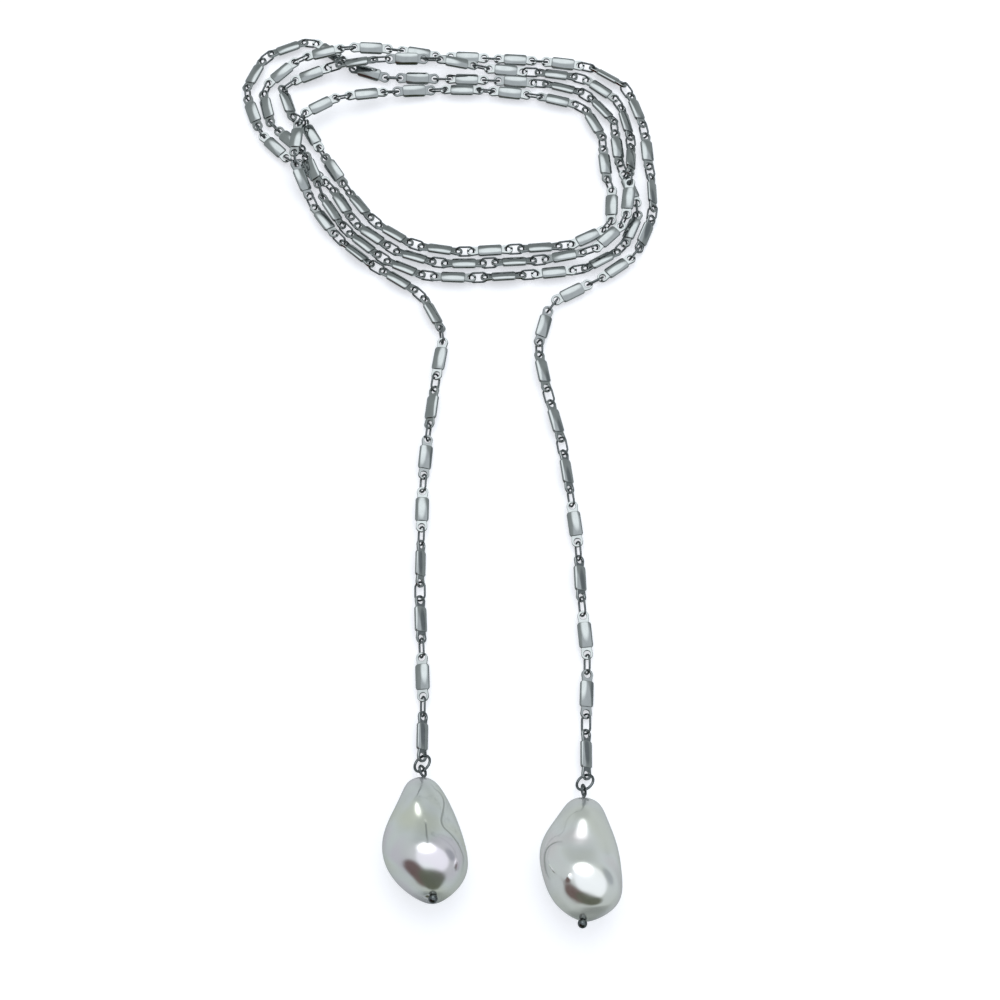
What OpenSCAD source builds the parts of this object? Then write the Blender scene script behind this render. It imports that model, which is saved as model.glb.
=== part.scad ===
// Long open necklace, laid down on a table.
// A chain of small bar links and oval connector rings is wound into a coil of nearly four turns.
// Both ends of the chain are free and run towards -Y. Each ends in a jump ring and a baroque pearl,
// drilled through and held on a ball-ended head pin.
// Millimetres. +Z is up, the table is z = 0, and the origin is under the centre of the whole outline.

/* [Bar links] */
// distance between the two holes of one bar
bar_pitch = 8.35; // [7:0.05:10]
// length of the thick middle
bar_body = 5.65; // [4:0.05:6.5]
// width of the thick middle
bar_width = 3; // [2:0.1:3.4]
// thickness of the middle along its centre line
bar_thick = 1.25; // [0.8:0.05:1.6]
// outside diameter of the flat lug at each end
lug_d = 2.5; // [2:0.05:2.8]
// diameter of the hole in each lug
lug_hole = 1.48; // [1.3:0.02:1.6]
// thickness of each lug
lug_thick = 0.58; // [0.4:0.02:0.8]

/* [Connector rings] */
// wire diameter of the oval rings
ring_wire = 0.47; // [0.3:0.01:0.55]
// outside length of the oval
ring_length = 4.67; // [4:0.01:5]
// outside width of the oval
ring_width = 2.77; // [2.4:0.01:3]

/* [Drops] */
// outside diameter of the round jump ring
jump_d = 4.3; // [3.8:0.1:4.6]
// wire diameter of the jump ring and the head pin
jump_wire = 0.56; // [0.4:0.02:0.7]
// outside diameter of the eye at the top of the head pin
eye_d = 2.8; // [2.2:0.1:3]
// diameter of the ball at the lower end of the pin
ball_d = 1.9; // [1.4:0.1:2.4]
// diameter of the hole drilled through each pearl
drill_d = 0.84; // [0.7:0.02:1.2]
// play between the ball and its seat in the pearl
seat_play = 0.04; // [0.02:0.01:0.1]

/* [Lay of the chain] */
// height of a link that lies flat
flat_z = 1.35; // [1.25:0.05:1.6]
// height of a link that leans a little
tilt_z = 1.5; // [1.35:0.05:1.7]
// height of a link that stands nearly on edge
edge_z = 1.75; // [1.6:0.05:2]
// height of a link that crosses over another strand
over_z = 3.9; // [3.6:0.1:5]
// steps between two points of the route
route_steps = 16; // [8:1:24]

/* [Hidden] */
fine = 32;
link_count = 97;
dome_r = 5.5;
bar_corner = 0.6;
neck_width = 2;
ring_r = (ring_width - ring_wire) / 2;
ring_half = (ring_length - ring_width) / 2;
jump_r = (jump_d - jump_wire) / 2;
eye_r = (eye_d - jump_wire) / 2;
silver = [0.8, 0.81, 0.83];
bright = [0.85, 0.86, 0.88];
nacre = [0.8, 0.83, 0.81];
// small differences of lean from link to link, taken in turn
lean_change = [0, 10, -8, 4, -12, 8];

// The way the chain lies, from the hole over the right pearl to the hole over the left one.
// Columns: x, y, height, hole-to-hole length of the connector rings here, lean of the bars here.
route = [
    // right tail
    [30.8, -78, tilt_z, 4.6, 40], [31, -66, flat_z, 4.6, 5], [31.5, -52, flat_z, 4.5, 0],
    [30.5, -40, tilt_z, 4.4, 30], [30, -27.5, flat_z, 4.3, 5],
    [28.5, -15, tilt_z, 4.3, 30], [26.5, -1, flat_z, 4.4, 15], [23.5, 11, edge_z, 3.6, 65],
    [22, 22.5, tilt_z, 3.6, 25], [25.5, 33, flat_z, 4.1, 5],
    [34.2, 38.2, flat_z, 4.0, 5],
    // first turn
    [42.2, 43.2, flat_z, 3.6, 35], [47.8, 51.4, tilt_z, 3.5, 45], [49.8, 62, tilt_z, 3.5, 5],
    [48.8, 72, tilt_z, 4.0, 20], [48, 82, tilt_z, 4.2, 35],
    [44, 93.5, tilt_z, 4.2, 32], [37, 99, tilt_z, 3.6, 0], [26, 101.2, tilt_z, 3.6, -12],
    [12, 102.3, tilt_z, 3.8, -10], [-2, 103.1, tilt_z, 3.6, -15],
    [-12, 104, 2.6, 3.6, -5], [-21, 104, over_z, 3.5, -5],
    [-32, 102.3, over_z, 3.5, 10], [-41, 98.5, 2.0, 3.5, 10], [-45.3, 92, 1.4, 3.5, 15],
    [-43.8, 84.5, flat_z, 3.5, 10], [-40.2, 80, flat_z, 3.5, 10], [-36.4, 76.6, 1.6, 3.5, 20],
    [-33.4, 71.5, 3.6, 3.6, 5], [-31.4, 67.5, 4.2, 3.7, 0], [-30, 62.9, 3.4, 3.6, -25],
    [-27.9, 58, 2.2, 3.5, -25],
    [-23.5, 52.6, edge_z, 3.5, -28], [-17, 46.5, edge_z, 3.5, -10], [-8, 41, edge_z, 3.5, -20],
    [2, 39.5, edge_z, 3.5, -25], [13, 39.8, edge_z, 3.5, -15], [24, 40.7, edge_z, 3.5, -12],
    [33, 42, edge_z, 3.5, -12], [38.5, 44.8, 1.7, 3.5, -20],
    // second turn
    [43, 49.5, 1.6, 3.5, -5], [45.7, 56, 1.45, 3.6, 20], [45.2, 62.5, flat_z, 3.6, 10],
    [42.3, 70, flat_z, 3.7, 10], [41.2, 77, flat_z, 3.8, 25],
    [40.7, 84, flat_z, 3.6, 15], [36, 90, 1.45, 3.6, 10], [31, 93.2, 1.45, 3.6, 5],
    [25, 94.7, 1.4, 3.7, -8], [12, 95.8, flat_z, 3.9, -8], [0, 96.3, flat_z, 3.9, -8],
    [-12, 96.6, flat_z, 3.5, -30],
    [-20, 97.5, flat_z, 3.5, 15], [-25.5, 101.2, 1.4, 3.5, 0], [-31, 106.2, 1.5, 3.5, 5],
    [-38, 107, 1.4, 3.5, 20], [-45.5, 102.5, flat_z, 3.5, 25],
    [-49.4, 95, flat_z, 3.6, 10], [-48.3, 87, flat_z, 3.6, 10], [-46, 81.8, flat_z, 3.6, 15],
    [-42.3, 75.6, 1.4, 3.6, 15], [-37.3, 72.2, 1.4, 3.5, 0], [-32.5, 69.2, 1.4, 3.5, -20],
    [-26.6, 63.3, tilt_z, 3.5, -25], [-21.5, 54.6, edge_z, 3.5, -28], [-14.9, 49.1, edge_z, 3.5, -15],
    [-8, 45, edge_z, 3.5, -20], [2, 43.2, edge_z, 3.5, -12], [12, 43.6, edge_z, 3.5, -12],
    [22, 44.2, edge_z, 3.5, -20], [31, 45.4, 2.6, 3.7, 5], [36.5, 47.2, 3.4, 3.5, 12],
    // third turn
    [42, 53.5, 3.0, 3.6, -20], [43.6, 59.5, over_z, 3.6, 0], [44.2, 67, 3.6, 3.5, 50],
    [44.9, 77, tilt_z, 3.5, 30], [43.2, 86.5, 1.4, 3.6, 20], [40.8, 91, flat_z, 3.6, 15],
    [36.5, 94.8, 1.5, 3.7, 5],
    [31, 96.9, 1.5, 4.2, -8], [24.5, 98, 1.5, 4.2, -8], [12, 99, 1.4, 4.1, -8],
    [0, 99.6, 4.5, 4.1, -15], [-9, 100, 4.4, 4.1, 5], [-16, 99.8, 4.6, 3.5, 14],
    [-25, 99.2, over_z, 3.5, 5],
    [-33, 97.8, edge_z, 4.0, -36], [-39.5, 94.2, edge_z, 3.7, -36], [-42.3, 89.5, tilt_z, 3.5, 5],
    [-40.5, 86.2, tilt_z, 3.5, 0], [-35.5, 83.8, 1.4, 3.5, 0], [-32.9, 79.5, 1.4, 3.5, 5],
    [-28.9, 72.2, tilt_z, 3.5, -25], [-24.5, 65.3, tilt_z, 3.5, -20], [-19, 57.1, edge_z, 3.5, -28],
    [-13.1, 51.8, edge_z, 3.5, -10], [-7, 48.4, edge_z, 3.5, -10], [2, 46.6, edge_z, 3.5, -15],
    [12, 47, edge_z, 3.5, -20],
    [22, 47.6, edge_z, 3.5, -10], [31, 48.9, 1.4, 3.5, -35], [36.3, 51.3, 1.5, 3.5, -5],
    // fourth turn
    [40.3, 57, 1.4, 3.6, 10], [40.3, 62, flat_z, 3.6, 10], [38.2, 69.5, flat_z, 3.8, 15],
    [38, 78, flat_z, 3.6, 30], [36.5, 84.5, tilt_z, 3.6, 0], [31, 88.8, tilt_z, 3.6, -10],
    [26.5, 90, edge_z, 3.6, -10],
    [16, 91.8, edge_z, 3.5, -5], [4, 92.8, edge_z, 3.5, -10], [-8, 92.4, edge_z, 3.5, -5],
    [-19, 90.6, 3.3, 3.5, 5], [-28.4, 88.4, over_z, 2.7, 20], [-32.9, 86.3, 4.0, 3.8, 0],
    [-36.1, 80.6, over_z, 2.7, 0], [-36.5, 75, 4.4, 3.5, -20], [-36.1, 69.4, 4.3, 3.5, -20],
    [-33.6, 64, 3.2, 3.6, -25], [-31.5, 59.1, edge_z, 3.8, -25], [-25.8, 50.9, edge_z, 3.8, -28],
    [-18, 43.6, edge_z, 4.0, -25],
    // left tail
    [-8.5, 37.6, tilt_z, 3.9, -20], [-2.5, 31, 1.4, 3.9, 5], [-0.2, 22.5, 1.4, 4.1, 0],
    [-1.5, 14, flat_z, 4.1, 30], [-3, 1, flat_z, 4.4, -25], [-4, -11, flat_z, 4.3, 5],
    [-4.2, -24, 1.8, 4.3, -55],
    [-4.3, -37, flat_z, 4.5, -25], [-3.8, -49, flat_z, 4.5, 0], [-3.2, -61, tilt_z, 4.5, -46],
    [-3.2, -80, tilt_z, 4.6, -46]];

// Hand-placed points of the two drops: eye centre and ball centre of each head pin,
// and the turn of the jump ring and of the eye about their own length.
left_eye = [-2.9, -77.7, 3.2];
left_ball = [0, -104.7, 11.9];
left_turns = [30, -60];
right_eye = [30.1, -81.7, 3.1];
right_ball = [29, -109.1, 9.7];
right_turns = [33, -68];
// moves the origin under the centre of the whole outline
lay_shift = [-0.04, 0.749, 0.003];

// Cross-sections of each pearl from its small end to its round end.
// Columns: y, centre x, half width, centre height, half height.
left_sections = [
    [-79.8, -3, 2.2, 4.1, 2], [-81.3, -2.8, 3.5, 4.5, 3.3], [-83.2, -2.6, 4.7, 5, 4.4],
    [-86.6, -2.5, 6.1, 6, 5.8], [-90, -2.4, 7.3, 7, 6.9], [-93.3, -2.2, 8.2, 7.8, 7.8],
    [-96.6, -1.7, 8.4, 8.15, 8], [-99.8, -1, 7.2, 8.3, 7], [-102.6, -0.7, 5, 8.5, 4.3],
    [-104.2, -0.5, 3, 8.5, 2.7], [-105, -0.3, 1.2, 8.5, 1.1]
];
right_sections = [
    [-84, 29.8, 2.4, 4.2, 2.1], [-85.6, 29.8, 3.8, 4.6, 3.5], [-87.3, 29.5, 5, 5.2, 4.7],
    [-90.6, 29, 6.5, 6.3, 6], [-94, 28.7, 7.6, 7.2, 7], [-97.3, 28.9, 8, 7.8, 7.7],
    [-100.5, 29.4, 7.8, 8.05, 8], [-103.6, 29.8, 6.9, 8.2, 7.2], [-106.2, 30, 5, 8.4, 5.1],
    [-107.7, 30, 3, 8.5, 3.1], [-108.4, 29.8, 1.2, 8.6, 1.2]
];
section_sides = 36;

// point on a smooth curve through b and c
function curve(a, b, c, d, t) = ((2 * b) + (c - a) * t + (2 * a - 5 * b + 4 * c - d) * t * t
    + (3 * b - a - 3 * c + d) * t * t * t) / 2;
function place(i) = [route[i][0], route[i][1], route[i][2]];
last_row = len(route) - 1;
path = concat(
    [
        for (i = [0 : last_row - 1])
            let(b = place(i), c = place(i + 1))
            let(a = i == 0 ? 2 * b - c : place(i - 1))
            let(d = i + 2 > last_row ? 2 * c - b : place(i + 2))
            for (k = [0 : route_steps - 1]) curve(a, b, c, d, k / route_steps)
    ],
    [place(last_row)]
);

// index of the last path point that is nearer to p than dist, starting the search at j
function ahead(j, p, dist) =
    j + 2 < len(path) && norm(path[j + 1] - p) < dist ? ahead(j + 1, p, dist) : j;
// the point of path segment j that is exactly dist away from p
function reach(j, p, dist) =
    let(a = path[j], v = path[j + 1] - a, w = a - p)
    let(qa = v * v, qb = 2 * v * w, qc = w * w - dist * dist)
    a + v * (-qb + sqrt(max(qb * qb - 4 * qa * qc, 0))) / (2 * qa);
function row_at(j) = route[floor(j / route_steps)];

// hole centres in order, each as [point, path index]; a bar and a ring take turns
holes = [
    for (
        i = 0, j = 0, p = path[0];
        i < 2 * link_count;
        dist = i % 2 == 0 ? bar_pitch : row_at(j)[3],
        j = ahead(j, p, dist),
        p = reach(j, p, dist),
        i = i + 1
    ) [p, j]
];
function hole(i) = holes[i][0];
function lean(i) = row_at(holes[2 * i][1])[4] + lean_change[i % len(lean_change)];

// unit vector from a to b
function aim(a, b) = (b - a) / norm(b - a);
function bend(i) =
    acos(min(1, aim(hole(2 * i), hole(2 * i + 1)) * aim(hole(2 * i + 2), hole(2 * i + 3))));
// a ring lies as flat as the two bars it joins allow
function ring_lean(i) =
    let(r1 = lean(i), r2 = lean(i + 1), mid = (r1 + r2) / 2)
    let(ease = max(0, 32 - abs(r1 - r2) / 2 - bend(i) / 2))
    mid + 90 + (mid > 0 || (mid == 0 && i % 2 == 1) ? ease : -ease);

// moves children to the middle of a and b with X along a to b, turned about that line
module between(a, b, turn) {
    d = b - a;
    translate((a + b) / 2)
        rotate([turn, -asin(d[2] / norm(d)), atan2(d[1], d[0])])
            children();
}

// lens-shaped cross-section of a bar, domed on both faces
module bar_section() {
    intersection() {
        square([bar_width, bar_thick], center = true);
        translate([0, bar_thick / 2 - dome_r])
            circle(r = dome_r, $fn = 96);
        translate([0, dome_r - bar_thick / 2])
            circle(r = dome_r, $fn = 96);
    }
}

module bar_outline() {
    square([bar_body, bar_width - 2 * bar_corner], center = true);
    square([bar_body - 2 * bar_corner, bar_width], center = true);
    for (x = [-1, 1], y = [-1, 1]) {
        translate([x * (bar_body / 2 - bar_corner), y * (bar_width / 2 - bar_corner)])
            circle(r = bar_corner, $fn = fine);
    }
}

// one bar along X, its holes at plus and minus half the pitch
module bar() {
    difference() {
        union() {
            intersection() {
                rotate([90, 0, 90])
                    linear_extrude(bar_body, center = true)
                        bar_section();
                linear_extrude(bar_thick * 2, center = true)
                    bar_outline();
            }
            cube([bar_pitch, neck_width, lug_thick], center = true);
            for (side = [-1, 1]) {
                translate([side * bar_pitch / 2, 0, 0])
                    cylinder(d = lug_d, h = lug_thick, center = true, $fn = fine);
            }
        }
        for (side = [-1, 1]) {
            translate([side * bar_pitch / 2, 0, 0])
                cylinder(d = lug_hole, h = bar_thick * 2, center = true, $fn = fine);
        }
    }
}

// one oval ring in the XY plane, long along X
module connector_ring() {
    for (side = [0, 180]) {
        rotate([0, 0, side]) {
            translate([ring_half, 0, 0])
                rotate([0, 0, -90])
                    rotate_extrude(angle = 180, $fn = fine)
                        translate([ring_r, 0])
                            circle(d = ring_wire, $fn = 24);
            translate([0, ring_r, 0])
                rotate([0, 90, 0])
                    cylinder(d = ring_wire, h = 2 * ring_half, center = true, $fn = 24);
        }
    }
}

module wire_ring(radius) {
    rotate_extrude($fn = 64)
        translate([radius, 0])
            circle(d = jump_wire, $fn = 32);
}

module bar_links() {
    color(bright)
        translate(lay_shift)
            for (i = [0 : link_count - 1]) {
                between(hole(2 * i), hole(2 * i + 1), lean(i))
                    bar();
            }
}

module connector_rings() {
    color(silver)
        translate(lay_shift)
            for (i = [0 : link_count - 2]) {
                a = hole(2 * i + 1);
                b = hole(2 * i + 2);
                between(a, b, ring_lean(i))
                    rotate([0, 0, norm(b - a) < 3.05 ? 90 : 0])
                        connector_ring();
            }
}

module jump_ring(chain_end, eye, turns) {
    color(silver)
        translate(lay_shift)
            between(chain_end, eye, turns[0])
                wire_ring(jump_r);
}

// eye, straight shank and ball; the pearl hangs on the shank
module head_pin(eye, ball, turns) {
    axis = aim(eye, ball);
    shank = norm(ball - eye) - eye_r;
    color(silver)
        translate(lay_shift) {
            between(eye - axis, eye + axis, turns[1])
                wire_ring(eye_r);
            between(eye + axis * eye_r, ball, 0)
                rotate([0, 90, 0])
                    cylinder(d = jump_wire, h = shank, center = true, $fn = fine);
            translate(ball)
                sphere(d = ball_d, $fn = 48);
        }
}

function section_point(s, k) =
    let(angle = 360 * k / section_sides)
    [s[1] + s[2] * cos(angle), s[0], s[3] + s[4] * sin(angle)];

// baroque pearl through a row of cross-sections, drilled from end to end, with a seat for the ball
module pearl(sections, eye, ball) {
    smooth = concat(
        [
            for (i = [0 : len(sections) - 2])
                let(b = sections[i], c = sections[i + 1])
                let(a = i == 0 ? b : sections[i - 1])
                let(d = i + 2 < len(sections) ? sections[i + 2] : c)
                for (t = [0, 0.5]) curve(a, b, c, d, t)
        ],
        [sections[len(sections) - 1]]
    );
    count = len(smooth);
    first = smooth[0];
    last = smooth[count - 1];
    points = concat(
        [for (s = smooth, k = [0 : section_sides - 1]) section_point(s, k)],
        [[first[1], first[0] + 0.6, first[3]], [last[1], last[0] - 0.2, last[3]]]
    );
    sides = [
        for (i = [0 : count - 2], k = [0 : section_sides - 1])
            let(n = (k + 1) % section_sides, p = i * section_sides)
            for (f = [0, 1])
                f == 0
                    ? [p + k, p + n, p + section_sides + n]
                    : [p + k, p + section_sides + n, p + section_sides + k]
    ];
    tip = count * section_sides;
    ends = [
        for (k = [0 : section_sides - 1], f = [0, 1])
            let(n = (k + 1) % section_sides, p = tip - section_sides)
            f == 0 ? [tip, n, k] : [tip + 1, p + k, p + n]
    ];
    color(nacre)
        translate(lay_shift)
            difference() {
                polyhedron(points, concat(sides, ends));
                between(eye, ball, 0)
                    rotate([0, 90, 0])
                        cylinder(d = drill_d, h = norm(ball - eye) + 8, center = true, $fn = fine);
                translate(ball)
                    sphere(d = ball_d + seat_play, $fn = 48);
            }
}

module jump_ring_left() {
    jump_ring(hole(2 * link_count - 1), left_eye, left_turns);
}

module jump_ring_right() {
    jump_ring(hole(0), right_eye, right_turns);
}

module head_pin_left() {
    head_pin(left_eye, left_ball, left_turns);
}

module head_pin_right() {
    head_pin(right_eye, right_ball, right_turns);
}

module pearl_left() {
    pearl(left_sections, left_eye, left_ball);
}

module pearl_right() {
    pearl(right_sections, right_eye, right_ball);
}

bar_links();
connector_rings();
jump_ring_left();
jump_ring_right();
head_pin_left();
head_pin_right();
pearl_left();
pearl_right();
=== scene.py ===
"""Looks of a long open-ended bar-link necklace with two baroque pearl drops, lying on a white table.

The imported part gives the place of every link, ring, pin and pearl. Each of them is built again here
with its finer form and its finish: plated metal with broken edges, and pearls with their lobes,
creases and pits. Lengths in the classes are millimetres, and the finished meshes are metres.
"""

import logging
import math
from dataclasses import dataclass, field
from enum import Enum
from typing import NamedTuple

import bmesh
import bpy
import numpy as np
from mathutils import Matrix, Vector

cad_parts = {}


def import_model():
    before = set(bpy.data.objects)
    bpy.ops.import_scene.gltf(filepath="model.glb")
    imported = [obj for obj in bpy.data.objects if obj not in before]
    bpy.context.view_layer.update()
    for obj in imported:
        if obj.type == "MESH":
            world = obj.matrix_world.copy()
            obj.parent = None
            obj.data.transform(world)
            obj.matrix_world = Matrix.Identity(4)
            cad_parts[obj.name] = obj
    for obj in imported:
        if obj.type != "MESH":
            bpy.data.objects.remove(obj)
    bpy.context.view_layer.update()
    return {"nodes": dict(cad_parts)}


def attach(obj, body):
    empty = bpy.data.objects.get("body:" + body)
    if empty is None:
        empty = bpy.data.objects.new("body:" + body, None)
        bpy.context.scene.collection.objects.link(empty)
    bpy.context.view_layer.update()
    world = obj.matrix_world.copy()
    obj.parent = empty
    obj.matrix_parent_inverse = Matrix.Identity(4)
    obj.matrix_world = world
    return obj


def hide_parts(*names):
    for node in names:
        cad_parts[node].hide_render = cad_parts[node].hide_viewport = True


MM = 0.001
# part.scad's lay_shift, which sets the origin under the middle of the laid necklace, in mm
LAY_SHIFT = (-0.04, 0.749, 0.003)
# vertex attribute that marks the growth lines of a pearl, which the finish paints darker: their own
# tone and painted shade in their grooves
CREASE_MARK = "crease"
# wire and pearls are smooth up to this angle between two faces
ROUND_SHARP_DEG = 60.0
LOG = logging.getLogger("necklace")


def linear(hex_colour: str) -> tuple[float, float, float, float]:
    """Turn an sRGB hex colour into linear light.

    Args:
        hex_colour: Six hex digits after a hash.

    Returns:
        Red, green, blue and alpha for a shader socket.
    """
    parts = [int(hex_colour[i : i + 2], 16) / 255 for i in (1, 3, 5)]
    light = [c / 12.92 if c <= 0.04045 else ((c + 0.055) / 1.055) ** 2.4 for c in parts]
    return light[0], light[1], light[2], 1.0


def add_node(
    tree: bpy.types.NodeTree,
    kind: str,
    settings: dict | None = None,
    links: dict | None = None,
) -> bpy.types.Node:
    """Add one node, set its values and join its inputs.

    Args:
        tree: The tree that gets the node.
        kind: Blender's name for the node type.
        settings: Values by input name or index, or by property name; "stops" fills a colour ramp.
        links: Output sockets by input name or index.

    Returns:
        The new node.
    """
    node = tree.nodes.new(kind)
    for key, value in (settings or {}).items():
        if key == "stops":
            ramp = node.color_ramp
            while len(ramp.elements) < len(value):
                ramp.elements.new(0.5)
            for stop, (at, colour) in zip(ramp.elements, value, strict=True):
                stop.position, stop.color = at, colour
        elif isinstance(key, int) or key in node.inputs:
            node.inputs[key].default_value = value
        else:
            setattr(node, key, value)
    for key, socket in (links or {}).items():
        tree.links.new(socket, node.inputs[key])
    return node


def new_material(name: str) -> tuple[bpy.types.Material, bpy.types.NodeTree, bpy.types.Node]:
    """Start a node material with only its output.

    Args:
        name: The name of the finish.

    Returns:
        The material, its node tree and its output node.
    """
    material = bpy.data.materials.new(name)
    material.use_nodes = True
    material.node_tree.nodes.clear()
    return material, material.node_tree, material.node_tree.nodes.new("ShaderNodeOutputMaterial")


class Slot(Enum):
    """The record's material slots."""

    BAR = "plated_bar"
    RING = "plated_ring"
    PIN = "plated_pin"
    NACRE_LEFT = "nacre_left"
    NACRE_RIGHT = "nacre_right"


@dataclass(frozen=True)
class SilverPlating:
    """Bright rhodium-type plating on polished brass: a clear mirror, a little grey and wavy.

    Attributes:
        name: The name of the finish.
        colour: The mirror's colour on the swells of the polish.
        shade: Its darker colour in the hollows, a painted shade.
        roughness: The middle roughness, which a fine haze varies.
        wave_mm: Width of the hollows and swells.
        wave_depth: Their depth in millimetres.
        haze_mm: Grain of the haze, drawn coarser than the real one so that it shows.
    """

    name: str
    colour: str = "#AEB3B4"
    shade: str = "#9CA1A2"
    roughness: float = 0.1
    wave_mm: float = 1.4
    wave_depth: float = 0.012
    haze_mm: float = 0.12

    def material(self) -> bpy.types.Material:
        """Build the finish.

        Returns:
            The new material.
        """
        material, tree, out = new_material(self.name)
        place = add_node(tree, "ShaderNodeTexCoord")
        # soft hollows and swells that the polishing wheel leaves bend the reflections a little
        wave = add_node(
            tree,
            "ShaderNodeTexNoise",
            {"Scale": 1 / (self.wave_mm * MM), "Detail": 1.5, "Roughness": 0.45},
            {"Vector": place.outputs["Object"]},
        )
        # fine haze of the plated skin breaks up the gloss
        haze = add_node(
            tree,
            "ShaderNodeTexNoise",
            {"Scale": 1 / (self.haze_mm * MM), "Detail": 2.0},
            {"Vector": place.outputs["Object"]},
        )
        # the hollows of the waves are painted darker, a painted shade
        hollow_shaded_tint = add_node(
            tree,
            "ShaderNodeMix",
            {"data_type": "RGBA", 6: linear(self.shade), 7: linear(self.colour)},
            {0: wave.outputs["Fac"]},
        )
        gloss = add_node(
            tree,
            "ShaderNodeMapRange",
            {1: 0.3, 2: 0.7, 3: self.roughness * 0.8, 4: self.roughness * 1.25},
            {0: haze.outputs["Fac"]},
        )
        bump = add_node(
            tree,
            "ShaderNodeBump",
            {"Strength": 0.6, "Distance": self.wave_depth * MM},
            {"Height": wave.outputs["Fac"]},
        )
        shader = add_node(
            tree,
            "ShaderNodeBsdfPrincipled",
            {"Metallic": 1.0},
            {
                "Base Color": hollow_shaded_tint.outputs[2],
                "Roughness": gloss.outputs[0],
                "Normal": bump.outputs[0],
            },
        )
        tree.links.new(shader.outputs[0], out.inputs[0])
        return material


@dataclass(frozen=True)
class Nacre:
    """Thick lustrous pearl coat: grey-white, a soft mirror with some milk, pink and green in places.

    Attributes:
        name: The name of the finish.
        body: The main colour.
        rose: The pink overtone.
        olive: The green overtone.
        line: The colour of the growth lines: their own darker tone, and painted shade in their
            grooves.
        metallic: The share that reflects as a soft mirror.
        roughness: The middle roughness, which the grain varies.
        cloud_mm: Width of the clouds of overtone.
        grain_mm: Grain of the platelets, drawn coarser than the real one so that it shows.
        grain_depth: Depth of the grain in millimetres.
    """

    name: str
    body: str = "#F2F6F5"
    rose: str = "#F1ECF4"
    olive: str = "#EEF1E4"
    line: str = "#ACB1AC"
    metallic: float = 0.88
    roughness: float = 0.2
    cloud_mm: float = 9.0
    grain_mm: float = 0.3
    grain_depth: float = 0.003

    def material(self) -> bpy.types.Material:
        """Build the finish.

        Returns:
            The new material.
        """
        material, tree, out = new_material(self.name)
        place = add_node(tree, "ShaderNodeTexCoord")
        # clouds of overtone turn the grey-white a little pink or green
        cloud = add_node(
            tree,
            "ShaderNodeTexNoise",
            {"Scale": 1 / (self.cloud_mm * MM), "Detail": 1.0, "Distortion": 0.3},
            {"Vector": place.outputs["Object"]},
        )
        tone = add_node(
            tree,
            "ShaderNodeValToRGB",
            {
                "stops": [
                    (0.36, linear(self.rose)),
                    (0.5, linear(self.body)),
                    (0.66, linear(self.olive)),
                ]
            },
            {0: cloud.outputs["Fac"]},
        )
        # growth lines in the coat are painted a little darker: partly their own tone, partly painted
        # shade in the groove
        crease = add_node(tree, "ShaderNodeAttribute", {"attribute_name": CREASE_MARK})
        line_and_groove_shade = add_node(
            tree,
            "ShaderNodeMix",
            {"data_type": "RGBA", 7: linear(self.line)},
            {0: crease.outputs["Fac"], 6: tone.outputs[0]},
        )
        # faint platelet grain takes the hard edge off the reflections
        grain = add_node(
            tree,
            "ShaderNodeTexNoise",
            {"Scale": 1 / (self.grain_mm * MM), "Detail": 2.0},
            {"Vector": place.outputs["Object"]},
        )
        bump = add_node(
            tree,
            "ShaderNodeBump",
            {"Strength": 0.1, "Distance": self.grain_depth * MM},
            {"Height": grain.outputs["Fac"]},
        )
        gloss = add_node(
            tree,
            "ShaderNodeMapRange",
            {1: 0.3, 2: 0.7, 3: self.roughness * 0.92, 4: self.roughness * 1.08},
            {0: grain.outputs["Fac"]},
        )
        shader = add_node(
            tree,
            "ShaderNodeBsdfPrincipled",
            {
                "Metallic": self.metallic,
                "IOR": 1.6,
                "Coat Weight": 0.7,
                "Coat Roughness": 0.06,
                "Coat IOR": 1.5,
            },
            {
                "Base Color": line_and_groove_shade.outputs[2],
                "Roughness": gloss.outputs[0],
                "Normal": bump.outputs[0],
            },
        )
        tree.links.new(shader.outputs[0], out.inputs[0])
        return material


def finish_piece(
    bm: bmesh.types.BMesh,
    name: str,
    node: str,
    material: bpy.types.Material,
    sharp_deg: float = 35.0,
) -> bpy.types.Object:
    """Turn a finished bmesh in metres into a piece that stands for its CAD node.

    Args:
        bm: The geometry, in metres and in place. It is freed.
        name: The name of the piece.
        node: The CAD node that it stands for.
        material: The finish.
        sharp_deg: Edges that turn by more than this stay crisp.

    Returns:
        The new object, riding on the body.
    """
    mesh = bpy.data.meshes.new(name)
    bm.to_mesh(mesh)
    bm.free()
    mesh.shade_smooth()
    mesh.set_sharp_from_angle(angle=math.radians(sharp_deg))
    mesh.materials.append(material)
    piece = bpy.data.objects.new(name, mesh)
    bpy.context.scene.collection.objects.link(piece)
    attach(piece, "root")
    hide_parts(node)
    LOG.info("%s: %d faces", name, len(mesh.polygons))
    return piece


def bevel_edges(
    bm: bmesh.types.BMesh, edges: list[bmesh.types.BMEdge], offset: float, segments: int
) -> None:
    """Round edges off.

    Args:
        bm: The geometry.
        edges: The edges to round.
        offset: Width of the round on each side of the edge.
        segments: Steps across it.
    """
    bmesh.ops.bevel(
        bm,
        geom=edges,
        offset=offset,
        offset_type="OFFSET",
        segments=segments,
        profile=0.5,
        affect="EDGES",
        material=-1,
    )


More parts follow.
